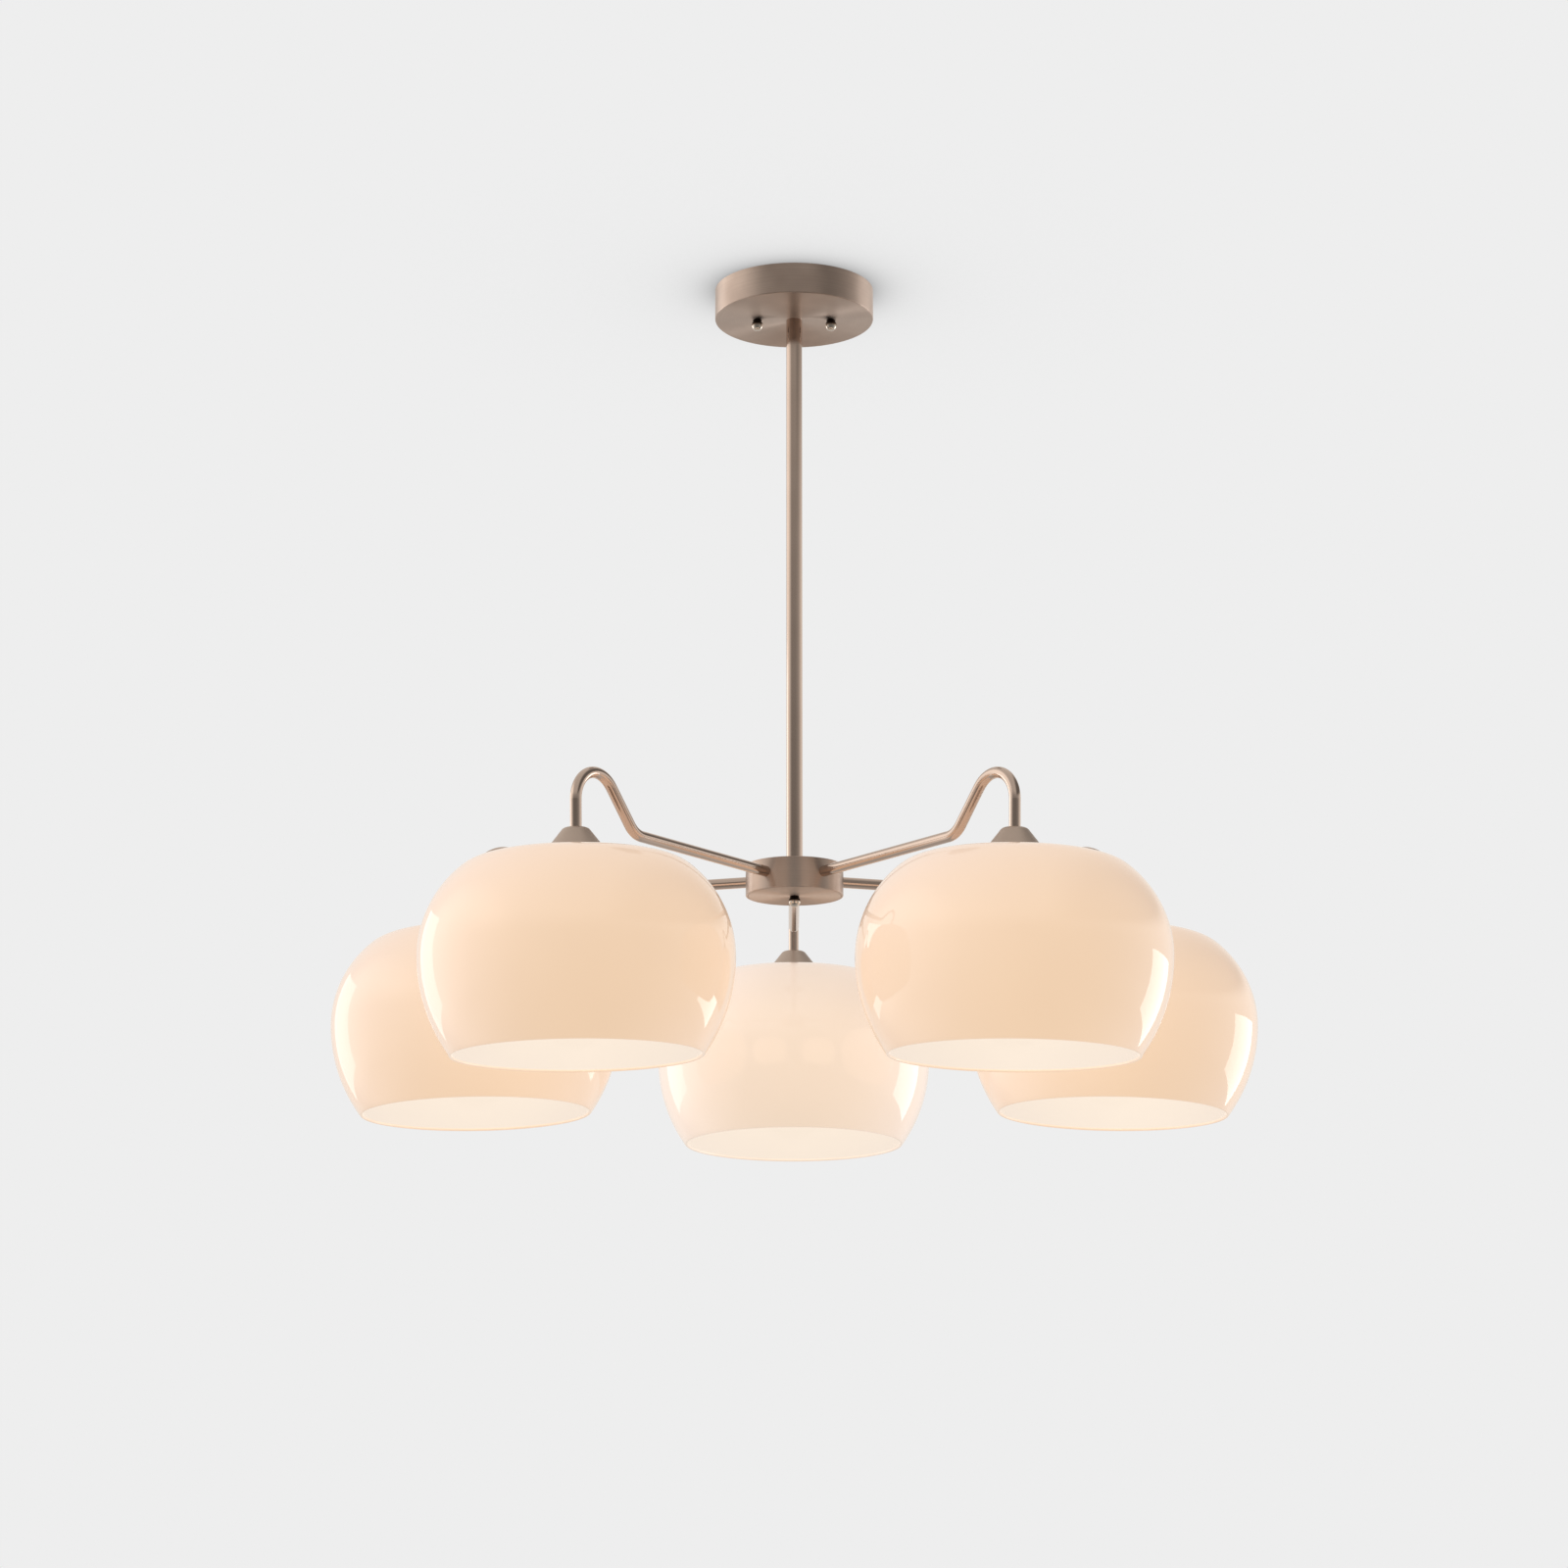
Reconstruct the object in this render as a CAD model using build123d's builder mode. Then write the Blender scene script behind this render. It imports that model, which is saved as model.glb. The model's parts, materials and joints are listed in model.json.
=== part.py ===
from build123d import *
import os
from math import cos, radians, sin, sqrt, tan

# A ceiling chandelier: a canopy on a ceiling strap, a straight rod, a flat hub and five bent
# arms, each with an opal glass shade that opens downwards. All sizes are in millimetres.
# The origin is the middle of the strap's fixing holes, on the ceiling plane, and +Z is up.

os.makedirs("parts", exist_ok=True)

# Ceiling strap and what hangs the canopy from it
strap_half_length = 52.0
strap_width = 22.0
strap_sheet = 2.0
strap_drop = 5.0  # the strap's middle stands this far off the ceiling
strap_step = 33.0  # half the length of the strap's lowered middle
strap_joggle = 3.0  # length of each sloped step down from an end to the middle
strap_joggle_shift = 1.2  # how far the step's underside is moved out, to keep its thickness
strap_corner = 5.0
fixing_offset = 44.0  # each ceiling screw hole's distance from the centre
fixing_hole_radius = 2.5
supply_hole_radius = 7.0
stud_offset = 28.0  # each canopy stud's distance from the centre
stud_radius = 2.0
stud_head_radius = 3.5
stud_head_height = 2.5
small_nut_width = 7.0
small_nut_height = 3.0
earth_head_radius = 3.8
earth_head_height = 2.4
earth_head_edge = 0.6
earth_slot_length = 5.0
earth_slot = 1.0  # the slot's width and depth
earth_screw_proud = 2.0
block_length = 22.0
block_width = 12.0
block_height = 8.0
block_offset = 17.0
block_corner = 1.0
block_poles = 3
wire_hole_radius = 1.6
screw_well_radius = 1.8
clamp_screw_radius = 1.7
clamp_screw_length = 1.8
clamp_slot = 0.6  # the slot's width and depth
clamp_slot_length = 2.6

# Canopy
canopy_radius = 60.0
canopy_depth = 23.5
canopy_sheet = 1.2
canopy_edge = 0.9
cap_nut_ball = 4.3
cap_nut_neck = 3.4
cap_nut_drop = 3.9  # from the face that the nut meets down to the middle of its ball
cap_nut_bore_depth = 5.9
stud_reach = 5.6  # how far a stud goes into its cap nut

# Rod and its threaded ends
rod_radius = 6.0
thread_radius = 5.0
thread_bore = 3.3
washer_radius = 9.5
washer_height = 1.0
lock_nut_width = 14.0
lock_nut_height = 4.0
cable_radius = 2.8
cable_top_proud = 3.0  # how far the cable stands out of the top sleeve
cable_low_proud = 2.0  # how far the cable stands out of the hub sleeve
sleeve_reach = 20.0  # how far each sleeve goes into the rod
sleeve_proud = 2.0  # how far each sleeve stands out of its nut

# Hub
hub_radius = 35.8
hub_top = -447.0
hub_bottom = -469.6
hub_sheet = 1.5
hub_edge = 0.5
bridge_corner = 2.0
bridge_half_width = 10.5
bridge_depth = 14.0

# Arms: level out from the hub, up a slope, over a crook and down into the lamp
arm_count = 5
first_arm_angle = 90.0
arm_radius = 4.0
arm_bore = 3.0
arm_start = 26.0
arm_height = -457.0
arm_nut_width = 13.0
arm_nut_height = 3.5
arm_nut_gap = 0.8  # the flat nut's clearance from the hub's round wall
lamp_nut_width = 12.0
elbow_reach = 189.3
elbow_slope = 47.5
elbow_bend = 18.0
crook_bend = 22.0
wire_radius = 1.5
wire_start = 13.0

# Lamps: heights below are along the lamp's own axis, from the glass's flat top
seat_reach = 252.6
seat_height = -485.6
lamp_lean = 1.6  # the weight of the glass tips each lamp's lower end towards the hub
leg_end = 7.5
cap_height = 21.9
cap_top_radius = 8.6
cap_seat_radius = 25.5
cap_sheet = 1.2
cap_shoulder = 4.0
holder_radius = 19.7
holder_drop = 36.0
holder_bore = 14.2
screw_shell_bore = 13.6
screw_shell_margin = 3.0  # between the brass shell's ends and those of its bore
contact_gap = 0.2  # between the bulb's tip and the centre contact
contact_sheet = 1.2
contact_radius = 4.0
dome_top = 12.0  # the holder's dome, from its top down to its shoulder
dome_top_radius = 9.0
dome_low = 10.0
dome_radius = 14.5
dome_foot = 4.0
holder_shoulder = 3.0
dome_ceiling_radius = 10.0
dome_floor = 1.0
holder_edge = 0.6
ring_bore = 20.0
ring_radius = 28.0
ring_sheet = 2.5
ring_collar = 23.0
ring_drop = 14.0

# Glass shade
shade_height = 133.8
shade_radius = 107.4
shade_belly = 66.8  # depth of the widest place below the top
shade_low_curve = 113.4
shade_high_curve = 78.0
shade_shoulder = 30.0
shade_wall = 2.2
shade_neck = 21.0
shade_lip = 0.8

# Bulb
bulb_tip = -8.4
bulb_cap_radius = 13.2
bulb_cap_end = -34.0
bulb_radius = 27.5
bulb_middle = -78.9
bulb_wall = 1.0
bulb_shoulder_angle = 38.0  # above the ball's middle, where its neck begins
tip_radius = 3.6
glass_bead_radius = 4.2  # the black glass round the tip, from here out to its foot
glass_bead_depth = 1.0
glass_foot_radius = 9.0
glass_foot_depth = 1.6
cap_shoulder_depth = 5.0

running_gap = 0.1  # radial clearance of a turning or sliding shaft
free_gap = 0.3  # radial clearance of parts that only pass each other

canopy_inside = canopy_sheet - canopy_depth
canopy_face = -canopy_depth
arm_angles = [first_arm_angle + 360.0 / arm_count * index for index in range(arm_count)]
up = Vector(0, 0, 1)


def outward(angle):
    return Vector(cos(radians(angle)), sin(radians(angle)), 0)


def arm_plane(angle):
    # x runs out from the rod and y runs up
    return Plane(origin=(0, 0, 0), x_dir=outward(angle), z_dir=outward(angle).cross(up))


def lamp_plane(angle):
    # x runs out across the lamp and y runs up its axis, from the middle of the glass's top
    away = outward(angle)
    lean = radians(lamp_lean)
    across = away * cos(lean) - up * sin(lean)
    along = away * sin(lean) + up * cos(lean)
    seat = away * seat_reach + up * seat_height
    return Plane(origin=seat, x_dir=across, z_dir=across.cross(along))


def lamp_axis(angle):
    plane = lamp_plane(angle)
    return Axis(plane.origin, plane.y_dir)


def arm_route(start, end):
    # The points of an arm's middle line, from start on its level run to end above the glass
    lean = radians(lamp_lean)
    slope = tan(radians(elbow_slope))
    rise = arm_height - seat_height + slope * (seat_reach - elbow_reach)
    apex = rise / (cos(lean) - slope * sin(lean))
    points = [(start, arm_height), (elbow_reach, arm_height)]
    for height in (apex, end):
        points.append((seat_reach + height * sin(lean), seat_height + height * cos(lean)))
    return points


def cap_nut(spots, face):
    # Ball-headed cap nuts that hang from a face, bored from it for their studs
    with Locations(*[(x, y, face - cap_nut_drop) for x, y in spots]):
        Sphere(cap_nut_ball)
    with Locations(*[(x, y, face) for x, y in spots]):
        Cylinder(cap_nut_neck, cap_nut_drop, align=(Align.CENTER, Align.CENTER, Align.MAX))
    split(bisect_by=Plane.XY.offset(face), keep=Keep.BOTTOM)
    with Locations(*[(x, y, face) for x, y in spots]):
        Cylinder(
            stud_radius + running_gap,
            cap_nut_bore_depth,
            align=(Align.CENTER, Align.CENTER, Align.MAX),
            mode=Mode.SUBTRACT,
        )


# ---- Ceiling strap and its fittings ----

stud_spots = [(stud_offset, 0), (-stud_offset, 0)]
strap_low = -strap_drop - strap_sheet

with BuildPart() as ceiling_strap:
    with BuildSketch(Plane.XZ):
        with BuildLine():
            Polyline(
                (0, -strap_drop),
                (strap_step, -strap_drop),
                (strap_step + strap_joggle, 0),
                (strap_half_length, 0),
                (strap_half_length, -strap_sheet),
                (strap_step + strap_joggle + strap_joggle_shift, -strap_sheet),
                (strap_step + strap_joggle_shift, strap_low),
                (0, strap_low),
            )
            mirror(about=Plane.YZ)
        make_face()
    extrude(amount=strap_width / 2, both=True)
    end_corners = ceiling_strap.edges().filter_by(Axis.Z).group_by(lambda edge: abs(edge.center().X))[-1]
    fillet(end_corners, radius=strap_corner)
    with Locations((fixing_offset, 0, 0), (-fixing_offset, 0, 0)):
        Hole(fixing_hole_radius)
    with Locations((stud_offset, 0, 0), (-stud_offset, 0, 0), (-block_offset, 0, 0)):
        Hole(stud_radius)
    Hole(supply_hole_radius)
ceiling_strap.part.label = "ceiling_strap"
export_step(ceiling_strap.part, "parts/ceiling_strap.step")

with BuildPart() as canopy_studs:
    with BuildSketch(Plane.XY.offset(-strap_drop)):
        with Locations(*stud_spots):
            Circle(stud_head_radius)
    extrude(amount=stud_head_height)
    with BuildSketch(Plane.XY.offset(-strap_drop)):
        with Locations(*stud_spots):
            Circle(stud_radius)
    extrude(amount=canopy_face - stud_reach + strap_drop)
canopy_studs.part.label = "canopy_studs"
export_step(canopy_studs.part, "parts/canopy_studs.step")

with BuildPart() as stud_lock_nuts:
    with BuildSketch(Plane.XY.offset(strap_low)):
        with Locations(*stud_spots):
            RegularPolygon(small_nut_width / 2, 6, major_radius=False)
            Circle(stud_radius, mode=Mode.SUBTRACT)
    extrude(amount=-small_nut_height)
stud_lock_nuts.part.label = "stud_lock_nuts"
export_step(stud_lock_nuts.part, "parts/stud_lock_nuts.step")

with BuildPart() as earth_screw:
    with BuildSketch(Plane.XY.offset(strap_low)):
        with Locations((-block_offset, 0)):
            Circle(earth_head_radius)
    extrude(amount=-earth_head_height)
    lower_edge = earth_screw.edges().filter_by(GeomType.CIRCLE).sort_by(Axis.Z)[0]
    chamfer(lower_edge, length=earth_head_edge)
    with BuildSketch(Plane.XY.offset(strap_low - earth_head_height)):
        with Locations((-block_offset, 0)):
            Rectangle(earth_slot_length, earth_slot)
    extrude(amount=earth_slot, mode=Mode.SUBTRACT)
    with BuildSketch(Plane.XY.offset(strap_low)):
        with Locations((-block_offset, 0)):
            Circle(stud_radius)
    extrude(amount=strap_sheet + earth_screw_proud)
earth_screw.part.label = "earth_screw"
export_step(earth_screw.part, "parts/earth_screw.step")

pole_pitch = block_length / block_poles
pole_spots = [(block_offset, (index - 1) * pole_pitch) for index in range(block_poles)]
block_low = strap_low - block_height

with BuildPart() as terminal_block:
    with BuildSketch(Plane.XY.offset(strap_low)):
        with Locations((block_offset, 0)):
            RectangleRounded(block_width, block_length, block_corner)
    extrude(amount=-block_height)
    with BuildSketch(Plane.YZ.offset(block_offset)):
        with Locations(*[(y, strap_low - block_height / 2) for x, y in pole_spots]):
            Circle(wire_hole_radius)
    extrude(amount=block_width, both=True, mode=Mode.SUBTRACT)
    with BuildSketch(Plane.XY.offset(block_low)):
        with Locations(*pole_spots):
            Circle(screw_well_radius)
    extrude(amount=block_height / 2, mode=Mode.SUBTRACT)
terminal_block.part.label = "terminal_block"
export_step(terminal_block.part, "parts/terminal_block.step")

with BuildPart() as terminal_screws:
    with BuildSketch(Plane.XY.offset(block_low + clamp_slot)):
        with Locations(*pole_spots):
            Circle(clamp_screw_radius)
            Rectangle(clamp_slot_length, clamp_slot, mode=Mode.SUBTRACT)
    extrude(amount=clamp_slot)
    with BuildSketch(Plane.XY.offset(block_low + 2 * clamp_slot)):
        with Locations(*pole_spots):
            Circle(clamp_screw_radius)
    extrude(amount=clamp_screw_length - clamp_slot)
terminal_screws.part.label = "terminal_screws"
export_step(terminal_screws.part, "parts/terminal_screws.step")

# ---- Canopy ----

with BuildPart() as canopy:
    with BuildSketch(Plane.XY):
        Circle(canopy_radius)
    extrude(amount=-canopy_depth)
    fillet(canopy.edges().sort_by(Axis.Z)[0], radius=canopy_edge)
    with BuildSketch(Plane.XY):
        Circle(canopy_radius - canopy_sheet)
    extrude(amount=canopy_inside, mode=Mode.SUBTRACT)
    with Locations((stud_offset, 0, 0), (-stud_offset, 0, 0)):
        Hole(stud_radius + free_gap)
    Hole(thread_radius + running_gap)
canopy.part.label = "canopy"
export_step(canopy.part, "parts/canopy.step")

with BuildPart() as canopy_cap_nuts:
    cap_nut(stud_spots, canopy_face)
canopy_cap_nuts.part.label = "canopy_cap_nuts"
export_step(canopy_cap_nuts.part, "parts/canopy_cap_nuts.step")

# ---- Rod, with a threaded sleeve at each end ----

with BuildPart() as rod:
    with BuildSketch(Plane.XY.offset(canopy_face)):
        Circle(rod_radius)
        Circle(thread_radius, mode=Mode.SUBTRACT)
    extrude(amount=hub_top - canopy_face)
rod.part.label = "rod"
export_step(rod.part, "parts/rod.step")

washer_top = canopy_inside + washer_height
nut_top = washer_top + lock_nut_height
hub_ceiling = hub_top - hub_sheet
bridge_under = hub_ceiling - hub_sheet
hub_nut_low = bridge_under - lock_nut_height

with BuildPart() as top_sleeve:
    with BuildSketch(Plane.XY.offset(nut_top + sleeve_proud)):
        Circle(thread_radius)
        Circle(thread_bore, mode=Mode.SUBTRACT)
    extrude(amount=canopy_face - sleeve_reach - nut_top - sleeve_proud)
top_sleeve.part.label = "top_sleeve"
export_step(top_sleeve.part, "parts/top_sleeve.step")

with BuildPart() as top_washer:
    with BuildSketch(Plane.XY.offset(canopy_inside)):
        Circle(washer_radius)
        Circle(thread_radius, mode=Mode.SUBTRACT)
    extrude(amount=washer_height)
top_washer.part.label = "top_washer"
export_step(top_washer.part, "parts/top_washer.step")

with BuildPart() as top_nut:
    with BuildSketch(Plane.XY.offset(washer_top)):
        RegularPolygon(lock_nut_width / 2, 6, major_radius=False)
        Circle(thread_radius, mode=Mode.SUBTRACT)
    extrude(amount=lock_nut_height)
top_nut.part.label = "top_nut"
export_step(top_nut.part, "parts/top_nut.step")

with BuildPart() as hub_sleeve:
    with BuildSketch(Plane.XY.offset(hub_nut_low - sleeve_proud)):
        Circle(thread_radius)
        Circle(thread_bore, mode=Mode.SUBTRACT)
    extrude(amount=hub_top + sleeve_reach - hub_nut_low + sleeve_proud)
hub_sleeve.part.label = "hub_sleeve"
export_step(hub_sleeve.part, "parts/hub_sleeve.step")

with BuildPart() as hub_nut:
    with BuildSketch(Plane.XY.offset(hub_nut_low)):
        RegularPolygon(lock_nut_width / 2, 6, major_radius=False)
        Circle(thread_radius, mode=Mode.SUBTRACT)
    extrude(amount=lock_nut_height)
hub_nut.part.label = "hub_nut"
export_step(hub_nut.part, "parts/hub_nut.step")

cable_top = nut_top + sleeve_proud + cable_top_proud
cable_low = hub_nut_low - sleeve_proud - cable_low_proud

with BuildPart() as rod_cable:
    with BuildSketch(Plane.XY.offset(cable_top)):
        Circle(cable_radius)
    extrude(amount=cable_low - cable_top)
rod_cable.part.label = "rod_cable"
export_step(rod_cable.part, "parts/rod_cable.step")

# ---- Hub ----

cover_top = hub_bottom + hub_sheet

with BuildPart() as hub_body:
    with BuildSketch(Plane.XY.offset(hub_top)):
        Circle(hub_radius)
    extrude(amount=hub_bottom - hub_top)
    fillet(hub_body.edges().filter_by(GeomType.CIRCLE), radius=hub_edge)
    with BuildSketch(Plane.XY.offset(hub_ceiling)):
        Circle(hub_radius - hub_sheet)
    extrude(amount=hub_bottom - hub_ceiling, mode=Mode.SUBTRACT)
    for angle in arm_angles:
        entry = outward(angle) * arm_start + up * arm_height
        with BuildSketch(Plane(origin=entry, z_dir=outward(angle))):
            Circle(arm_radius)
        extrude(amount=hub_radius - arm_start + 1, mode=Mode.SUBTRACT)
    with Locations((0, 0, hub_top)):
        Hole(thread_radius)
hub_body.part.label = "hub_body"
export_step(hub_body.part, "parts/hub_body.step")

with BuildPart() as hub_bridge:
    with BuildSketch(Plane.XZ):
        with BuildLine():
            Polyline(
                (-bridge_half_width, hub_ceiling),
                (bridge_half_width, hub_ceiling),
                (bridge_half_width, cover_top),
                (-bridge_half_width, cover_top),
                close=True,
            )
        make_face()
    extrude(amount=bridge_depth / 2, both=True)
    fillet(hub_bridge.edges().filter_by(Axis.Y), radius=bridge_corner)
    with BuildSketch(Plane.XZ):
        with BuildLine():
            Polyline(
                (hub_sheet - bridge_half_width, bridge_under),
                (bridge_half_width - hub_sheet, bridge_under),
                (bridge_half_width - hub_sheet, cover_top + hub_sheet),
                (hub_sheet - bridge_half_width, cover_top + hub_sheet),
                close=True,
            )
        make_face()
    extrude(amount=bridge_depth, both=True, mode=Mode.SUBTRACT)
    with BuildSketch(Plane.XY.offset(bridge_under)):
        Circle(thread_radius)
    extrude(amount=hub_sheet, mode=Mode.SUBTRACT)
    with BuildSketch(Plane.XY.offset(cover_top)):
        Circle(stud_radius)
    extrude(amount=hub_sheet, mode=Mode.SUBTRACT)
hub_bridge.part.label = "hub_bridge"
export_step(hub_bridge.part, "parts/hub_bridge.step")

with BuildPart() as hub_stud:
    with BuildSketch(Plane.XY.offset(cover_top + hub_sheet)):
        Circle(stud_head_radius)
    extrude(amount=stud_head_height)
    with BuildSketch(Plane.XY.offset(cover_top + hub_sheet)):
        Circle(stud_radius)
    extrude(amount=hub_bottom - stud_reach - cover_top - hub_sheet)
hub_stud.part.label = "hub_stud"
export_step(hub_stud.part, "parts/hub_stud.step")

with BuildPart() as hub_cover:
    with BuildSketch(Plane.XY.offset(cover_top)):
        Circle(hub_radius - hub_sheet - free_gap)
        Circle(stud_radius + free_gap, mode=Mode.SUBTRACT)
    extrude(amount=-hub_sheet)
hub_cover.part.label = "hub_cover"
export_step(hub_cover.part, "parts/hub_cover.step")

with BuildPart() as hub_cap_nut:
    cap_nut([(0, 0)], hub_bottom)
hub_cap_nut.part.label = "hub_cap_nut"
export_step(hub_cap_nut.part, "parts/hub_cap_nut.step")

# ---- Arms ----

for number, angle in enumerate(arm_angles, start=1):
    with BuildPart() as arm:
        with BuildLine(arm_plane(angle)) as route:
            FilletPolyline(*arm_route(arm_start, leg_end), radius=[elbow_bend, crook_bend])
        with BuildSketch(Plane(origin=route.line @ 0, z_dir=route.line % 0)):
            Circle(arm_radius)
            Circle(arm_bore, mode=Mode.SUBTRACT)
        sweep()
    arm.part.label = f"arm_{number}"
    export_step(arm.part, f"parts/arm_{number}.step")

with BuildPart() as arm_nuts:
    for angle in arm_angles:
        wall = outward(angle) * (hub_radius - hub_sheet - arm_nut_gap) + up * arm_height
        with BuildSketch(Plane(origin=wall, x_dir=up, z_dir=outward(angle) * -1)):
            RegularPolygon(arm_nut_width / 2, 6, major_radius=False)
            Circle(arm_radius, mode=Mode.SUBTRACT)
        extrude(amount=arm_nut_height)
arm_nuts.part.label = "arm_nuts"
export_step(arm_nuts.part, "parts/arm_nuts.step")

contact_height = bulb_tip + contact_gap

with BuildPart() as arm_wires:
    for angle in arm_angles:
        with BuildLine(arm_plane(angle)) as route:
            FilletPolyline(
                *arm_route(wire_start, contact_height + contact_sheet),
                radius=[elbow_bend, crook_bend],
            )
        with BuildSketch(Plane(origin=route.line @ 0, z_dir=route.line % 0)):
            Circle(wire_radius)
        sweep(path=route.line)
arm_wires.part.label = "arm_wires"
export_step(arm_wires.part, "parts/arm_wires.step")

# ---- Lamps ----


def cap_outline(inset):
    # The lamp cap's outside, or its inside at the sheet's thickness below it
    slant = sqrt((cap_seat_radius - cap_top_radius) ** 2 + cap_height**2)
    level = inset * slant / cap_height
    top = cap_height - inset
    run = (cap_seat_radius - cap_top_radius) / cap_height
    shoulder = cap_top_radius + run * inset - level
    base = (cap_seat_radius - level, 0)
    Line((0, 0), base)
    FilletPolyline(base, (shoulder, top), (0, top), radius=cap_shoulder - inset)
    Line((0, top), (0, 0))


def shade_outline(inset):
    # The glass's outside, or its inside at the wall's thickness below it, down to the rim
    low = shade_low_curve - inset
    high = shade_high_curve - inset
    bend = shade_shoulder - inset
    low_middle = shade_radius - shade_low_curve
    high_middle = shade_radius - shade_high_curve
    rise = shade_belly - shade_shoulder
    reach = shade_high_curve - shade_shoulder
    bend_middle = high_middle + sqrt(reach**2 - rise**2)
    cosine = (bend_middle - high_middle) / reach
    sine = rise / reach
    rim = low_middle + sqrt(low**2 - (shade_height - shade_belly) ** 2)
    widest = (low_middle + low, -shade_belly)
    joint = (high_middle + high * cosine, high * sine - shade_belly)
    Line((0, -inset), (bend_middle, -inset))
    RadiusArc((bend_middle, -inset), joint, bend)
    RadiusArc(joint, widest, high)
    RadiusArc(widest, (rim, -shade_height), low)
    Line((rim, -shade_height), (0, -shade_height))
    Line((0, -shade_height), (0, -inset))


def bulb_outline(inset):
    # The bulb's outside, or its inside at the wall's thickness below it
    neck = bulb_cap_radius - inset
    ball = bulb_radius - inset
    turn = radians(bulb_shoulder_angle)
    shoulder = (ball * cos(turn), bulb_middle + ball * sin(turn))
    Line((0, bulb_cap_end), (neck, bulb_cap_end))
    Spline((neck, bulb_cap_end), shoulder, tangents=[(0, -1), (sin(turn), -cos(turn))])
    bottom = (0, bulb_middle - ball)
    RadiusArc(shoulder, bottom, ball)
    Line(bottom, (0, bulb_cap_end))


for number, angle in enumerate(arm_angles, start=1):
    section = lamp_plane(angle)
    axis = lamp_axis(angle)

    with BuildPart() as lamp_cap:
        with BuildSketch(section):
            with BuildLine():
                cap_outline(0)
            make_face()
        revolve(axis=axis)
        with BuildSketch(section):
            with BuildLine():
                cap_outline(cap_sheet)
            make_face()
        revolve(axis=axis, mode=Mode.SUBTRACT)
        with BuildSketch(Plane(origin=section.origin, z_dir=section.y_dir)):
            Circle(arm_radius)
        extrude(amount=cap_height, mode=Mode.SUBTRACT)
    lamp_cap.part.label = f"lamp_cap_{number}"
    export_step(lamp_cap.part, f"parts/lamp_cap_{number}.step")

    with BuildPart() as lampholder:
        with BuildSketch(section):
            with BuildLine():
                Polyline(
                    (arm_radius, dome_top),
                    (dome_top_radius, dome_top),
                    (dome_radius, dome_low),
                    (dome_radius, dome_foot),
                    (holder_radius, holder_shoulder),
                    (holder_radius, holder_edge - holder_drop),
                    (holder_radius - holder_edge, -holder_drop),
                    (holder_bore, -holder_drop),
                    (holder_bore, contact_height + contact_sheet),
                    (wire_radius, contact_height + contact_sheet),
                    (wire_radius, dome_floor),
                    (dome_ceiling_radius, dome_floor),
                    (dome_ceiling_radius, leg_end),
                    (arm_radius, leg_end),
                    close=True,
                )
            make_face()
        revolve(axis=axis)
    lampholder.part.label = f"lampholder_{number}"
    export_step(lampholder.part, f"parts/lampholder_{number}.step")

    with BuildPart() as shade:
        with BuildSketch(section):
            with BuildLine():
                shade_outline(0)
            make_face()
        revolve(axis=axis)
        with BuildSketch(section):
            with BuildLine():
                shade_outline(shade_wall)
            make_face()
        revolve(axis=axis, mode=Mode.SUBTRACT)
        with BuildSketch(Plane(origin=section.origin, z_dir=section.y_dir)):
            Circle(shade_neck)
        extrude(amount=-2 * shade_wall, mode=Mode.SUBTRACT)
        rim_edges = shade.edges().filter_by(GeomType.CIRCLE).sort_by(axis)[:2]
        fillet(rim_edges, radius=shade_lip)
    shade.part.label = f"shade_{number}"
    export_step(shade.part, f"parts/shade_{number}.step")

    with BuildPart() as shade_ring:
        with BuildSketch(section):
            with BuildLine():
                Polyline(
                    (ring_bore, -shade_wall),
                    (ring_radius, -shade_wall),
                    (ring_radius, -shade_wall - ring_sheet),
                    (ring_collar, -shade_wall - ring_sheet),
                    (ring_collar, -ring_drop),
                    (ring_bore, -ring_drop),
                    close=True,
                )
            make_face()
        revolve(axis=axis)
    shade_ring.part.label = f"shade_ring_{number}"
    export_step(shade_ring.part, f"parts/shade_ring_{number}.step")

    with BuildPart() as bulb_cap:
        with BuildSketch(section):
            with BuildLine():
                Polyline(
                    (0, bulb_tip),
                    (tip_radius, bulb_tip),
                    (glass_bead_radius, bulb_tip - glass_bead_depth),
                    (glass_foot_radius, bulb_tip - glass_foot_depth),
                    (bulb_cap_radius, bulb_tip - cap_shoulder_depth),
                    (bulb_cap_radius, bulb_cap_end),
                    (0, bulb_cap_end),
                    close=True,
                )
            make_face()
        revolve(axis=axis)
    bulb_cap.part.label = f"bulb_cap_{number}"
    export_step(bulb_cap.part, f"parts/bulb_cap_{number}.step")

    with BuildPart() as bulb_glass:
        with BuildSketch(section):
            with BuildLine():
                bulb_outline(0)
            make_face()
        revolve(axis=axis)
        with BuildSketch(section):
            with BuildLine():
                bulb_outline(bulb_wall)
            make_face()
        revolve(axis=axis, mode=Mode.SUBTRACT)
    bulb_glass.part.label = f"bulb_glass_{number}"
    export_step(bulb_glass.part, f"parts/bulb_glass_{number}.step")

with BuildPart() as lamp_nuts:
    for angle in arm_angles:
        section = lamp_plane(angle)
        under_cap = section.origin + section.y_dir * (cap_height - cap_sheet)
        with BuildSketch(Plane(origin=under_cap, z_dir=section.y_dir * -1)):
            RegularPolygon(lamp_nut_width / 2, 6, major_radius=False)
            Circle(arm_radius, mode=Mode.SUBTRACT)
        extrude(amount=arm_nut_height)
lamp_nuts.part.label = "lamp_nuts"
export_step(lamp_nuts.part, "parts/lamp_nuts.step")

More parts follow.
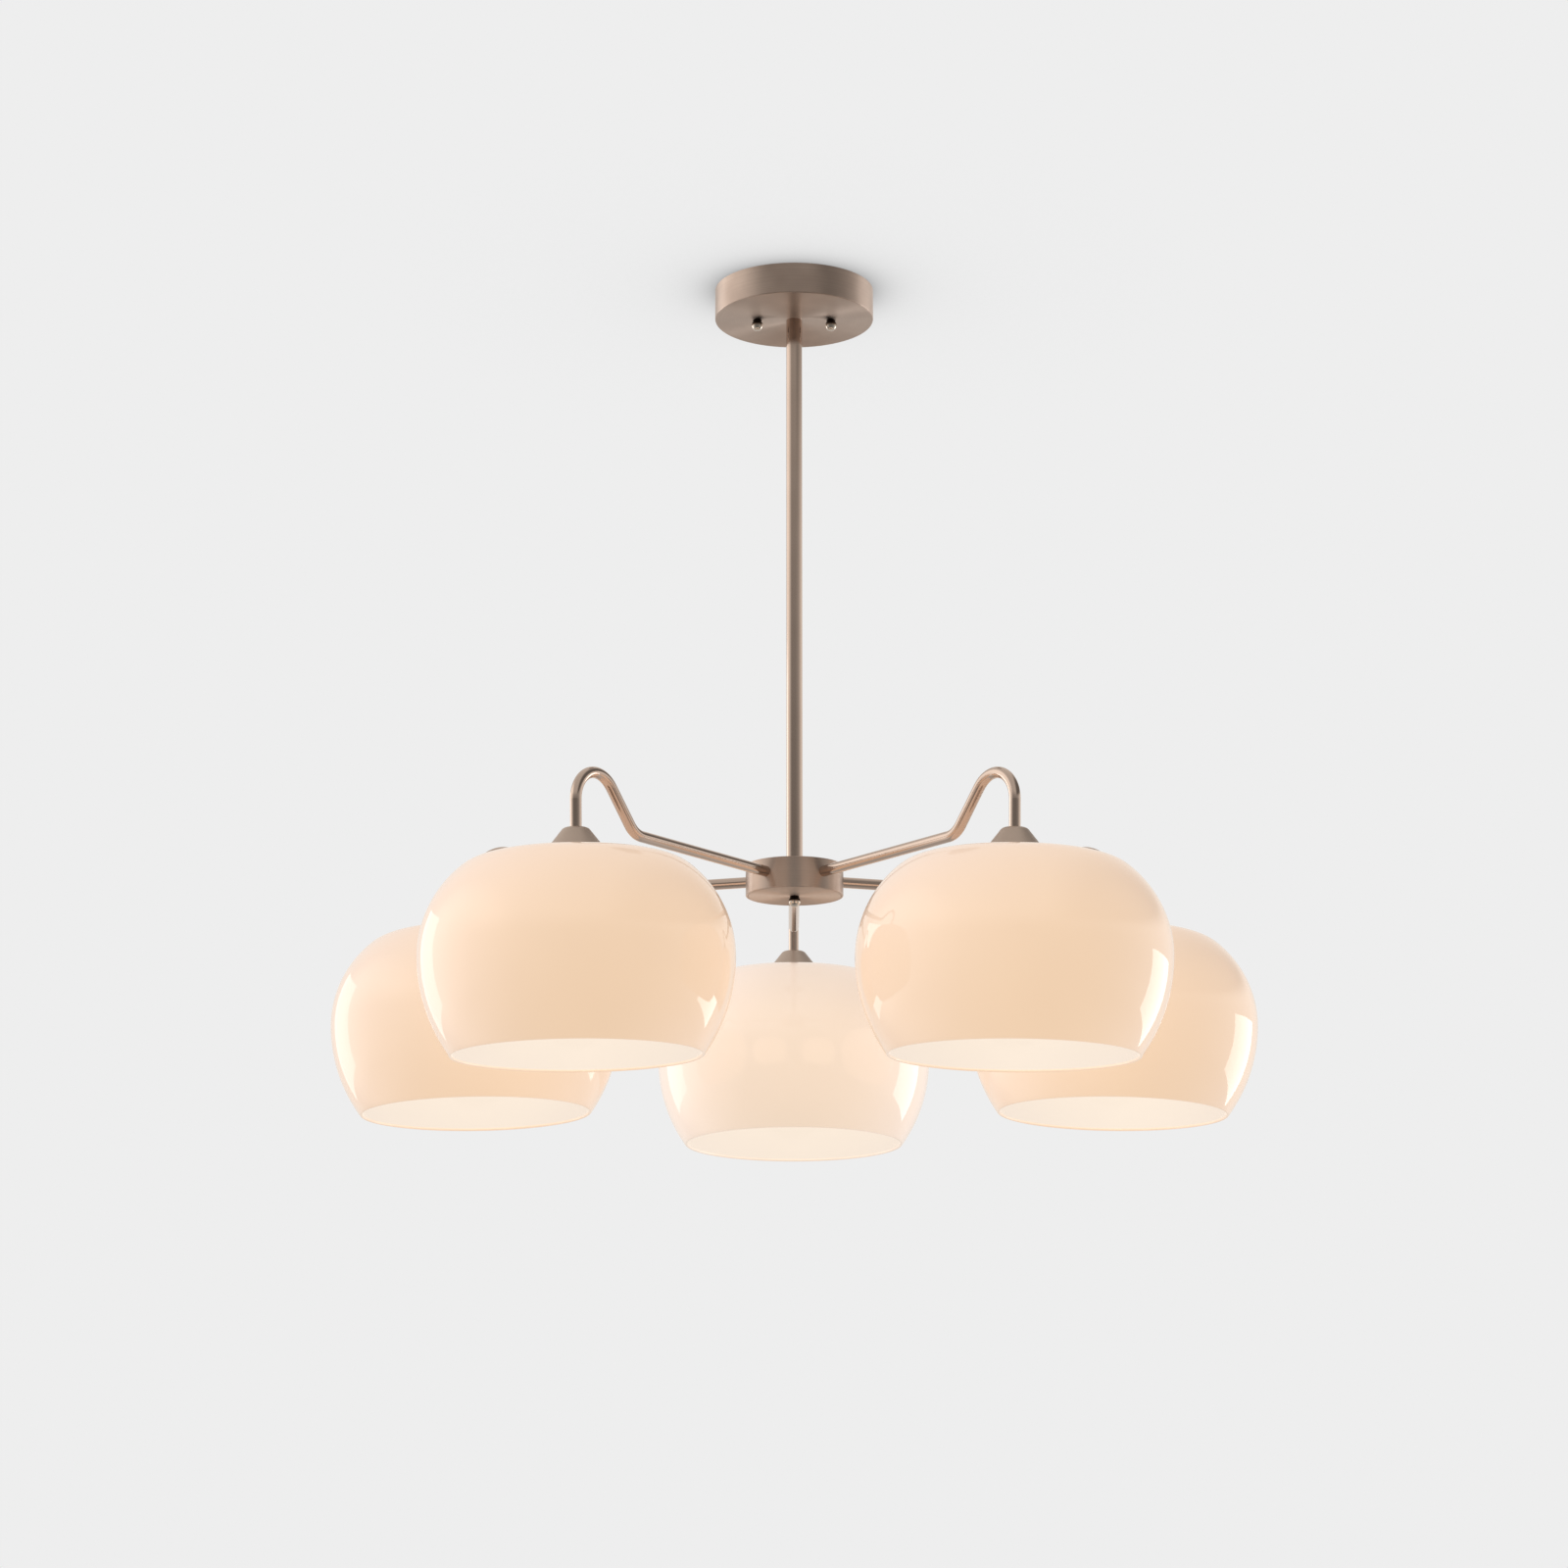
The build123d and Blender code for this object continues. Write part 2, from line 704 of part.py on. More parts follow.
with BuildPart() as holder_contacts:
    for angle in arm_angles:
        with BuildSketch(lamp_plane(angle)):
            with BuildLine():
                Polyline(
                    (screw_shell_bore, contact_height - screw_shell_margin),
                    (holder_bore, contact_height - screw_shell_margin),
                    (holder_bore, screw_shell_margin - holder_drop),
                    (screw_shell_bore, screw_shell_margin - holder_drop),
                    close=True,
                )
            make_face()
            with BuildLine():
                Polyline(
                    (0, contact_height + contact_sheet),
                    (contact_radius, contact_height + contact_sheet),
                    (contact_radius, contact_height),
                    (0, contact_height),
                    close=True,
                )
            make_face()
        revolve(axis=lamp_axis(angle))
holder_contacts.part.label = "holder_contacts"
export_step(holder_contacts.part, "parts/holder_contacts.step")
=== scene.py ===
import json
from math import asin, cos, pi, radians, sin, sqrt, tau

import bmesh
import bpy
from mathutils import Matrix, Vector


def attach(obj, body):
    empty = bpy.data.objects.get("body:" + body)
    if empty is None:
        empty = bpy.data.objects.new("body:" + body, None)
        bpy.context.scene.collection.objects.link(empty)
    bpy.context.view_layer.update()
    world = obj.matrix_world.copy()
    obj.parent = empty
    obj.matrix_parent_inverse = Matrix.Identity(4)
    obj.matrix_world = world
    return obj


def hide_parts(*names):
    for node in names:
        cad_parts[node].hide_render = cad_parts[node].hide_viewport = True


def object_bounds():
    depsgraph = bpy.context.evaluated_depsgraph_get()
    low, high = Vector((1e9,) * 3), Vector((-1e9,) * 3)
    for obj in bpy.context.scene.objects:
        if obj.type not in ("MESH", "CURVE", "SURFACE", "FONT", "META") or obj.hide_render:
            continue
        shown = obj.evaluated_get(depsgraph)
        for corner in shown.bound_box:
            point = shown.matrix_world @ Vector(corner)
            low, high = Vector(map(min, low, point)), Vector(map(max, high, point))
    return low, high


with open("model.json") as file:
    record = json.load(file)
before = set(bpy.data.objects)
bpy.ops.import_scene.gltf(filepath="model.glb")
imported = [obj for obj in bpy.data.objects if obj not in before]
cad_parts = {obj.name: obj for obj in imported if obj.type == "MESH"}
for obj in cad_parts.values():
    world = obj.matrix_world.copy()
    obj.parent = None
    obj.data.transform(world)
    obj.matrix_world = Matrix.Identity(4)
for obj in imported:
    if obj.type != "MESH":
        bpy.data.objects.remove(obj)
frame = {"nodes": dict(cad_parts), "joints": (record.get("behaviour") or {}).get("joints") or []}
nodes = frame["nodes"]
cadLow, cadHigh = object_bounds()
scene = bpy.context.scene
print("frame loaded,", len(nodes), "CAD nodes")

mm = 0.001
tiny = 0.001 * mm     # two points closer than this are one
lampNumbers = range(1, 6)
smooth = {"interpolation_type": "SMOOTHSTEP"}


# small helpers

def linear(hexColour):
    # sRGB hex to the linear values that the shaders work in
    channels = [int(hexColour[i:i + 2], 16) / 255 for i in (1, 3, 5)]
    curve = [c / 12.92 if c <= 0.04045 else ((c + 0.055) / 1.055) ** 2.4 for c in channels]
    return (*curve, 1.0)


def addNode(tree, kind, settings=None, links=None):
    # settings are the node's own fields; links are values or other sockets for its inputs
    node = tree.nodes.new(kind)
    for name, value in (settings or {}).items():
        setattr(node, name, value)
    for name, value in (links or {}).items():
        if isinstance(value, bpy.types.NodeSocket):
            tree.links.new(value, node.inputs[name])
        else:
            node.inputs[name].default_value = value
    return node


def newMaterial(name):
    material = bpy.data.materials.new(name)
    material.use_nodes = True
    material.node_tree.nodes.clear()
    return material, material.node_tree


def closeMaterial(tree, shader, bump=None):
    addNode(tree, "ShaderNodeOutputMaterial", links={"Surface": shader.outputs[0]})
    if bump:
        tree.links.new(bump.outputs[0], shader.inputs["Normal"])


def dress(names, material):
    for name in names:
        mesh = nodes[name].data
        mesh.materials.clear()
        mesh.materials.append(material)


def each(stem):
    return [f"{stem}_{number}" for number in lampNumbers]


# materials

# Satin brushed nickel plate on spun steel: the brush ran round the axis, so each light
# pulls out into a fan across the flat faces and a band down the walls
brushed = {
    "colour": "#c8b6aa", "darkStreak": "#af9d92", "roughness": 0.42, "anisotropy": 0.95,
    "streakPitch": 0.35 * mm,  # drawn coarser than a real 0.05 mm grit line, which wouldn't show
    "streakDepth": 0.004 * mm, "streakStrength": 0.3, "spread": 0.05,
    "cloud": 28.6 * mm, "darkest": 0.05, "palest": 0.4,  # where the streaks reach their two colours
    "acrossLines": 0.25,  # a quarter turn: highlights stretch across the brush lines
}


def brushedNickelPlate():
    material, tree = newMaterial("brushedNickelPlate")
    place = addNode(tree, "ShaderNodeTexCoord")
    axes = addNode(tree, "ShaderNodeSeparateXYZ", links={"Vector": place.outputs["Object"]})
    x, y = axes.outputs["X"], axes.outputs["Y"]
    xx = addNode(tree, "ShaderNodeMath", {"operation": "MULTIPLY"}, {0: x, 1: x})
    yy = addNode(tree, "ShaderNodeMath", {"operation": "MULTIPLY_ADD"}, {0: y, 1: y, 2: xx.outputs[0]})
    radius = addNode(tree, "ShaderNodeMath", {"operation": "SQRT"}, {0: yy.outputs[0]})
    unrolled = addNode(tree, "ShaderNodeCombineXYZ", links={"X": radius.outputs[0], "Z": axes.outputs["Z"]})
    streak = addNode(tree, "ShaderNodeTexNoise", {"noise_dimensions": "3D"},
                     {"Vector": unrolled.outputs[0], "Scale": 1 / brushed["streakPitch"], "Detail": 3.0})
    cloud = addNode(tree, "ShaderNodeTexNoise",
                    links={"Vector": place.outputs["Object"], "Scale": 1 / brushed["cloud"]})
    blend = addNode(tree, "ShaderNodeMath", {"operation": "MULTIPLY"},
                    {0: streak.outputs["Fac"], 1: cloud.outputs["Fac"]})
    colour = addNode(tree, "ShaderNodeValToRGB", links={"Fac": blend.outputs[0]})
    dark, pale = colour.color_ramp.elements
    dark.position, dark.color = brushed["darkest"], linear(brushed["darkStreak"])
    pale.position, pale.color = brushed["palest"], linear(brushed["colour"])
    rough = addNode(tree, "ShaderNodeMapRange",
                    links={"Value": streak.outputs["Fac"], "To Min": brushed["roughness"] - brushed["spread"],
                           "To Max": brushed["roughness"] + brushed["spread"]})
    bump = addNode(tree, "ShaderNodeBump",
                   links={"Height": streak.outputs["Fac"], "Distance": brushed["streakDepth"],
                          "Strength": brushed["streakStrength"]})
    tangent = addNode(tree, "ShaderNodeTangent", {"direction_type": "RADIAL", "axis": "Z"})
    shader = addNode(tree, "ShaderNodeBsdfPrincipled",
                     links={"Base Color": colour.outputs[0], "Metallic": 1.0, "Roughness": rough.outputs[0],
                            "Anisotropic": brushed["anisotropy"],
                            "Anisotropic Rotation": brushed["acrossLines"], "Tangent": tangent.outputs[0]})
    closeMaterial(tree, shader, bump)
    return material


# Satin nickel plate on drawn tube and pressed caps: fine cloth-polished, soft even reflections
# with slight cloudiness; the pressed caps were left duller than the tube
satin = {
    "tube": {"colour": "#c5b3a7", "shade": "#b9a79b", "roughness": 0.13},
    "pressing": {"colour": "#bdada1", "shade": "#b1a195", "roughness": 0.42},
    "spread": 0.01, "cloud": 35.7 * mm,
    "grain": 0.4 * mm,  # drawn coarser than real 0.02 mm cloth marks, which wouldn't show
    "grainDepth": 0.0001 * mm, "grainStrength": 0.3,
}


def satinNickelPlate(name, finish):
    material, tree = newMaterial(name)
    place = addNode(tree, "ShaderNodeTexCoord")
    grain = addNode(tree, "ShaderNodeTexNoise",
                    links={"Vector": place.outputs["Object"], "Scale": 1 / satin["grain"], "Detail": 2.0})
    cloud = addNode(tree, "ShaderNodeTexNoise",
                    links={"Vector": place.outputs["Object"], "Scale": 1 / satin["cloud"], "Detail": 4.0})
    tint = addNode(tree, "ShaderNodeMix", {"data_type": "RGBA"},
                   {"Factor": cloud.outputs["Fac"], "A": linear(finish["shade"]),
                    "B": linear(finish["colour"])})
    rough = addNode(tree, "ShaderNodeMapRange",
                    links={"Value": grain.outputs["Fac"], "To Min": finish["roughness"] - satin["spread"],
                           "To Max": finish["roughness"] + satin["spread"]})
    bump = addNode(tree, "ShaderNodeBump",
                   links={"Height": grain.outputs["Fac"], "Distance": satin["grainDepth"],
                          "Strength": satin["grainStrength"]})
    shader = addNode(tree, "ShaderNodeBsdfPrincipled",
                     links={"Base Color": tint.outputs["Result"], "Metallic": 1.0,
                            "Roughness": rough.outputs[0]})
    closeMaterial(tree, shader, bump)
    return material


# Plated and machined small metal, one recipe with each metal's own values
metals = {
    # polished nickel plate on turned brass: a mirror ball whose upper part is painted near black, a painted
    # dark reflection of what lies above it, so each nut reads as a dark ring with a bright drop below it;
    # collar is the height where it ends
    "canopyNutNickel": {"colour": "#cfc6bc", "roughness": 0.07, "grain": 0.8 * mm, "collar": -26.9 * mm},
    "hubNutNickel": {"colour": "#cfc6bc", "roughness": 0.07, "grain": 0.8 * mm, "collar": -473.0 * mm},
    # bright zinc plate on pressed steel: cool grey with a slight spangle
    "brightZincPlate": {"colour": "#b4b7ba", "roughness": 0.3, "grain": 1.5 * mm},
    # bare turned brass: warm yellow with fine turning marks
    "turnedBrass": {"colour": "#d8b873", "roughness": 0.24, "grain": 0.5 * mm},
    # rolled aluminium screw cap: pale, soft grey
    "rolledAluminium": {"colour": "#c9c9c8", "roughness": 0.28, "grain": 0.6 * mm},
}
metalWear = {"dull": 0.86, "smoother": 0.8, "rougher": 1.2}  # how far the grain takes colour and roughness
# colour and edge blend of the painted dark reflection on the nuts' upper parts
paintedDarkReflection = {"colour": "#2b2420", "blend": 0.25 * mm}


def smallMetal(name):
    values = metals[name]
    material, tree = newMaterial(name)
    place = addNode(tree, "ShaderNodeTexCoord")
    grain = addNode(tree, "ShaderNodeTexNoise",
                    links={"Vector": place.outputs["Object"], "Scale": 1 / values["grain"], "Detail": 3.0})
    dull = [metalWear["dull"] * c for c in linear(values["colour"])[:3]]
    tint = addNode(tree, "ShaderNodeMix", {"data_type": "RGBA"},
                   {"Factor": grain.outputs["Fac"], "A": (*dull, 1.0), "B": linear(values["colour"])})
    # painted dark reflection: above the collar height the nut's colour turns near black
    if "collar" in values:
        axes = addNode(tree, "ShaderNodeSeparateXYZ", links={"Vector": place.outputs["Object"]})
        ball = addNode(tree, "ShaderNodeMapRange",
                       links={"Value": axes.outputs["Z"], "From Min": values["collar"] + paintedDarkReflection["blend"],
                              "From Max": values["collar"] - paintedDarkReflection["blend"]})
        tint = addNode(tree, "ShaderNodeMix", {"data_type": "RGBA"},
                       {"Factor": ball.outputs[0], "A": linear(paintedDarkReflection["colour"]),
                        "B": tint.outputs["Result"]})
    rough = addNode(tree, "ShaderNodeMapRange",
                    links={"Value": grain.outputs["Fac"],
                           "To Min": values["roughness"] * metalWear["smoother"],
                           "To Max": values["roughness"] * metalWear["rougher"]})
    shader = addNode(tree, "ShaderNodeBsdfPrincipled",
                     links={"Base Color": tint.outputs["Result"], "Metallic": 1.0,
                            "Roughness": rough.outputs[0]})
    closeMaterial(tree, shader)
    return material


# Moulded and extruded plastics: even colour, a faint mottle and a soft moulded skin
plastics = {
    # glossy phenolic of lampholders and rings: hard, clean white
    "mouldedPhenolic": {"colour": "#ece9e2", "roughness": 0.28, "ior": 1.55, "grain": 1.2 * mm},
    # natural nylon of a terminal block: milky, duller
    "mouldedNylon": {"colour": "#e6e2d6", "roughness": 0.45, "ior": 1.53, "grain": 1.5 * mm},
    # black glass of a bulb's foot: glossy and nearly black
    "blackGlass": {"colour": "#1b1a19", "roughness": 0.1, "ior": 1.52, "grain": 2 * mm},
    # PVC cable sheath: soft off-white, slightly wavy from the extruder
    "extrudedSheath": {"colour": "#dcd8cf", "roughness": 0.5, "ior": 1.54, "grain": 2.5 * mm},
}
mouldSkin = {"dull": 0.93, "depth": 0.02 * mm, "strength": 0.3}


def plastic(name):
    values = plastics[name]
    material, tree = newMaterial(name)
    place = addNode(tree, "ShaderNodeTexCoord")
    grain = addNode(tree, "ShaderNodeTexNoise",
                    links={"Vector": place.outputs["Object"], "Scale": 1 / values["grain"], "Detail": 2.0})
    dull = [mouldSkin["dull"] * c for c in linear(values["colour"])[:3]]
    tint = addNode(tree, "ShaderNodeMix", {"data_type": "RGBA"},
                   {"Factor": grain.outputs["Fac"], "A": (*dull, 1.0), "B": linear(values["colour"])})
    bump = addNode(tree, "ShaderNodeBump",
                   links={"Height": grain.outputs["Fac"], "Distance": mouldSkin["depth"],
                          "Strength": mouldSkin["strength"]})
    shader = addNode(tree, "ShaderNodeBsdfPrincipled",
                     links={"Base Color": tint.outputs["Result"], "Roughness": values["roughness"],
                            "IOR": values["ior"], "Specular IOR Level": 0.5})
    closeMaterial(tree, shader, bump)
    return material


# Opal glass cased in clear glass, mouth blown: milk-white body that glows with the lamp behind it, under a
# wet-looking clear skin with long, slow waves; the glow is painted light, an emission standing in for the
# bulb's light through the glass
opal = {
    "outside": {"body": "#dddde2", "glow": "#ffd59c", "strength": 0.93},
    "paleGlow": {"body": "#dddde2", "glow": "#fbdeb4", "strength": 0.93},  # a paler painted glow colour, used on lamp 1 only
    # inside layer: a brighter painted glow where the bulb's light falls on the inner wall
    "inside": {"body": "#8a8785", "glow": "#fff0d5", "strength": 1.08},
    "paleGlowLamps": (1,), "roughness": 0.5, "ior": 1.5,
    "wave": 60 * mm, "waveDepth": 0.12 * mm, "waveStrength": 0.5, "unevenness": 0.06,
    # the lamp cap and the ring's collar keep some light off the top of the glass
    "collarShade": 0.93, "collarTop": -486 * mm, "collarEnd": -545 * mm,
    "casingRoughness": 0.03, "casingIor": 1.52, "casingTint": "#e2e2ea",
}


def casedOpalGlass(name, layer):
    material, tree = newMaterial(name)
    place = addNode(tree, "ShaderNodeTexCoord")
    wave = addNode(tree, "ShaderNodeTexNoise",
                   links={"Vector": place.outputs["Object"], "Scale": 1 / opal["wave"], "Detail": 1.0})
    cloud = addNode(tree, "ShaderNodeTexNoise",
                    links={"Vector": place.outputs["Object"], "Scale": 0.5 / opal["wave"], "Detail": 2.0})
    uneven = addNode(tree, "ShaderNodeMapRange",
                     links={"Value": cloud.outputs["Fac"],
                            "To Min": layer["strength"] * (1 - opal["unevenness"]),
                            "To Max": layer["strength"] * (1 + opal["unevenness"])})
    axes = addNode(tree, "ShaderNodeSeparateXYZ", links={"Vector": place.outputs["Object"]})
    collar = addNode(tree, "ShaderNodeMapRange", smooth,
                     {"Value": axes.outputs["Z"], "From Min": opal["collarTop"],
                      "From Max": opal["collarEnd"], "To Min": opal["collarShade"], "To Max": 1.0})
    light = addNode(tree, "ShaderNodeMath", {"operation": "MULTIPLY"},
                    {0: uneven.outputs[0], 1: collar.outputs[0]})
    bump = addNode(tree, "ShaderNodeBump",
                   links={"Height": wave.outputs["Fac"], "Distance": opal["waveDepth"],
                          "Strength": opal["waveStrength"]})
    shader = addNode(tree, "ShaderNodeBsdfPrincipled",
                     links={"Base Color": linear(layer["body"]), "Roughness": opal["roughness"],
                            "IOR": opal["ior"], "Specular IOR Level": 0.0,
                            "Coat Weight": 1.0, "Coat Roughness": opal["casingRoughness"],
                            "Coat IOR": opal["casingIor"], "Coat Tint": linear(opal["casingTint"]),
                            "Emission Color": linear(layer["glow"]), "Emission Strength": light.outputs[0]})
    closeMaterial(tree, shader, bump)
    material.cycles.emission_sampling = "NONE"  # so large and even a glow needs no aimed rays
    return material


# Frosted lamp glass, lit: the powder coat inside spreads the light to an even, bright white
frosted = {
    "body": "#fff6ea", "glow": "#ffe9cc", "dimmest": 1.5, "brightest": 1.7, "roughness": 0.2, "ior": 1.5,
    "powder": 2.5 * mm,  # drawn coarser than the real powder, which wouldn't show
}


def frostedLampGlass():
    material, tree = newMaterial("frostedLampGlass")
    place = addNode(tree, "ShaderNodeTexCoord")
    powder = addNode(tree, "ShaderNodeTexNoise",
                     links={"Vector": place.outputs["Object"], "Scale": 1 / frosted["powder"]})
    light = addNode(tree, "ShaderNodeMapRange",
                    links={"Value": powder.outputs["Fac"], "To Min": frosted["dimmest"],
                           "To Max": frosted["brightest"]})
    shader = addNode(tree, "ShaderNodeBsdfPrincipled",
                     links={"Base Color": linear(frosted["body"]), "Roughness": frosted["roughness"],
                            "IOR": frosted["ior"], "Emission Color": linear(frosted["glow"]),
                            "Emission Strength": light.outputs[0]})
    closeMaterial(tree, shader)
    return material


brushedNickel = brushedNickelPlate()
satinNickel = satinNickelPlate("satinNickelTube", satin["tube"])
capNickel = satinNickelPlate("satinNickelPressing", satin["pressing"])
opalOutside = casedOpalGlass("casedOpalGlass", opal["outside"])
opalPaleGlow = casedOpalGlass("casedOpalGlassPaleGlow", opal["paleGlow"])
opalInside = casedOpalGlass("casedOpalGlassInside", opal["inside"])
lampGlass = frostedLampGlass()
metal = {name: smallMetal(name) for name in metals}
moulded = {name: plastic(name) for name in plastics}
print("materials made")

dress(["canopy", "hub_body", "hub_cover"], brushedNickel)
dress(["rod", *each("arm")], satinNickel)
dress(each("lamp_cap"), capNickel)
dress(["canopy_cap_nuts"], metal["canopyNutNickel"])
dress(["hub_cap_nut"], metal["hubNutNickel"])
dress(["ceiling_strap", "canopy_studs", "stud_lock_nuts", "top_sleeve", "top_washer", "top_nut", "hub_sleeve",
       "hub_nut", "hub_bridge", "hub_stud", "arm_nuts", "lamp_nuts"], metal["brightZincPlate"])
dress(["earth_screw", "terminal_screws"], metal["turnedBrass"])
dress(["terminal_block"], moulded["mouldedNylon"])
dress(["rod_cable", "arm_wires"], moulded["extrudedSheath"])
dress(each("bulb_glass"), lampGlass)

# lamp places: each lamp's own frame has its origin at the middle of the glass's top and z up its axis

lamp = {"seatReach": 252.6 * mm, "seatHeight": -485.6 * mm}
sharpCorner = radians(35)
slides = {joint["name"]: Vector(joint["axis"]).normalized() for joint in frame["joints"]}


def lampFrame(number):
    up = -slides[f"shade_drop_{number}"]
    away = Vector((up.x, up.y, 0)).normalized()
    seat = away * lamp["seatReach"] + Vector((0, 0, lamp["seatHeight"]))
    across = (away - up * away.dot(up)).normalized()
    return Matrix.Translation(seat) @ Matrix((across, up.cross(across), up)).transposed().to_4x4()


def arc(middle, radius, start, end, steps):
    # points along an arc, angles in radians from straight out, positive upwards
    turns = [start + (end - start) * step / steps for step in range(steps + 1)]
    return [(middle[0] + radius * cos(turn), middle[1] + radius * sin(turn)) for turn in turns]


def turned(name, stretches, materials, segments=128, ripple=None, closed=False):
    # A turned piece: stretches are (points, material slot), from one end of the outline to the other;
    # points are (radius, height) in metres, and ripple(radius, height, turn) may move the radius
    mesh = bpy.data.meshes.new(name)
    work = bmesh.new()
    outline, slots = [], []
    for points, slotNumber in stretches:
        for point in points:
            if not outline or (Vector(point) - Vector(outline[-1])).length > tiny:
                outline.append(point)
                slots.append(slotNumber)
    rows = []
    for radius, height in outline:
        if radius < tiny:
            rows.append([work.verts.new((0, 0, height))])
            continue
        row = []
        for segment in range(segments):
            turn = tau * segment / segments
            reach = ripple(radius, height, turn) if ripple else radius
            row.append(work.verts.new((reach * cos(turn), reach * sin(turn), height)))
        rows.append(row)
    pairs = list(zip(rows, rows[1:], slots[1:]))
    if closed:
        pairs.append((rows[-1], rows[0], slots[0]))
    for upper, lower, slotNumber in pairs:
        for segment in range(segments):
            ring = [upper[segment % len(upper)], upper[(segment + 1) % len(upper)],
                    lower[(segment + 1) % len(lower)], lower[segment % len(lower)]]
            corners = list(dict.fromkeys(ring))
            if len(corners) > 2:
                work.faces.new(corners).material_index = slotNumber
    bmesh.ops.recalc_face_normals(work, faces=work.faces)
    work.to_mesh(mesh)
    work.free()
    mesh.polygons.foreach_set("use_smooth", [True] * len(mesh.polygons))
    mesh.set_sharp_from_angle(angle=sharpCorner)
    for material in materials:
        mesh.materials.append(material)
    piece = bpy.data.objects.new(name, mesh)
    scene.collection.objects.link(piece)
    return piece


def fit(piece, number, body, slotName, *replaced):
    # places a piece in its lamp's frame and hands it over to its body
    piece.data.transform(lampFrame(number))
    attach(piece, body)
    if replaced:
        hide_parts(*replaced)


# Glass shades: a flat top, a tight shoulder, a full belly drawn in to the mouth, and a
# fire-polished rim

glass = {
    "height": 133.8 * mm, "radius": 107.4 * mm, "belly": 66.8 * mm, "lowCurve": 113.4 * mm,
    "highCurve": 78 * mm, "shoulder": 30 * mm, "wall": 2.2 * mm, "neck": 21 * mm, "neckEdge": 0.4 * mm,
    "shoulderSteps": 16, "bellySteps": 22, "rimSteps": 10, "segments": 160,
}


def glassWall(inset):
    # the outline's arcs from the flat top down to where the rim's rounding starts
    low, high, bend = (glass[name] - inset for name in ("lowCurve", "highCurve", "shoulder"))
    lowMiddle = glass["radius"] - glass["lowCurve"]
    highMiddle = glass["radius"] - glass["highCurve"]
    rise = glass["belly"] - glass["shoulder"]
    reach = glass["highCurve"] - glass["shoulder"]
    bendMiddle = highMiddle + sqrt(reach**2 - rise**2)
    lift = asin(rise / reach)
    half = glass["wall"] / 2
    drop = asin((glass["height"] - half - glass["belly"]) / (glass["lowCurve"] - half))
    points = arc((bendMiddle, -glass["shoulder"]), bend, pi / 2, lift, glass["shoulderSteps"])
    points += arc((highMiddle, -glass["belly"]), high, lift, 0, glass["bellySteps"])
    points += arc((lowMiddle, -glass["belly"]), low, 0, -drop, glass["bellySteps"])
    rimMiddle = (lowMiddle + (glass["lowCurve"] - half) * cos(drop),
                 -glass["belly"] - (glass["lowCurve"] - half) * sin(drop))
    return points, rimMiddle, drop


def glassShade(number):
    wall, edge, neck = glass["wall"], glass["neckEdge"], glass["neck"]
    outside, rimMiddle, drop = glassWall(0)
    inside = glassWall(wall)[0]
    rim = arc(rimMiddle, wall / 2, -drop, -drop - pi, glass["rimSteps"])
    stretches = [([(neck, -edge), (neck + edge, 0), *outside, *rim], 0),
                 ([*reversed(inside), (neck + edge, -wall), (neck, edge - wall)], 1)]
    outer = opalPaleGlow if number in opal["paleGlowLamps"] else opalOutside
    piece = turned(f"glass_shade_{number}", stretches, [outer, opalInside], glass["segments"], closed=True)
    fit(piece, number, f"shade_{number}", "opal_glass", f"shade_{number}")


# Retaining rings: a flange that clamps the glass up, with a ribbed collar for the fingers

clampRing = {"bore": 20 * mm, "flange": 28 * mm, "top": -2.2 * mm, "sheet": 2.5 * mm, "collar": 23 * mm,
             "drop": 14 * mm, "edge": 0.5 * mm, "ribs": 36, "ribDepth": 0.7 * mm, "segments": 288}


def ribbed(radius, height, turn):
    c = clampRing
    if radius < (c["bore"] + c["collar"]) / 2 or height > c["top"] - c["sheet"] - c["edge"]:
        return radius
    return radius - c["ribDepth"] * (0.5 - 0.5 * cos(c["ribs"] * turn)) ** 2


def retainingRing(number):
    c = clampRing
    under = c["top"] - c["sheet"]
    stretches = [([(c["bore"], c["top"]), (c["flange"] - c["edge"], c["top"]),
                   (c["flange"], c["top"] - c["edge"]), (c["flange"], under + c["edge"]),
                   (c["flange"] - c["edge"], under), (c["collar"] + c["edge"], under),
                   (c["collar"], under - c["edge"]), (c["collar"], under - 2 * c["edge"]),
                   (c["collar"], c["edge"] - c["drop"]), (c["collar"] - c["edge"], -c["drop"]),
                   (c["bore"] + c["edge"], -c["drop"]), (c["bore"], c["edge"] - c["drop"])], 0)]
    piece = turned(f"retaining_ring_{number}", stretches, [moulded["mouldedPhenolic"]], c["segments"], ribbed,
                   closed=True)
    fit(piece, number, f"shade_{number}", "holder_plastic", f"shade_ring_{number}")


# Lampholders: a domed top on the arm's end, an outside thread for the ring and a brass screw shell

socket = {
    "tube": 4 * mm, "radius": 19.7 * mm, "bore": 14.2 * mm, "drop": 36 * mm, "edge": 0.6 * mm,
    "domeTop": 12 * mm, "dome": 14.5 * mm, "shoulder": 3 * mm, "legEnd": 7.5 * mm, "wire": 1.5 * mm,
    "contact": -7 * mm, "threadPitch": 2.5 * mm, "threadDepth": 0.7 * mm, "threadLow": -33 * mm,
    "shellBore": 13.6 * mm, "shellTop": -11.2 * mm, "shellLow": -33 * mm, "screwPitch": 3.63 * mm,
    "screwDepth": 0.45 * mm, "contactRadius": 4 * mm, "contactSheet": 1.2 * mm, "contactEdge": 0.3 * mm,
    "shellSheet": 0.1 * mm, "domeRound": 3 * mm, "topFlat": 9 * mm, "chamber": 10 * mm,
    "chamberFloor": 1 * mm, "segments": 96, "contactSegments": 48, "roundSteps": 6, "stepsPerTurn": 8,
}


def screwWave(height, turn, pitch):
    # 0 in the groove and 1 on the crest of a right-hand thread
    return 0.5 + 0.5 * cos(tau * height / pitch - turn)


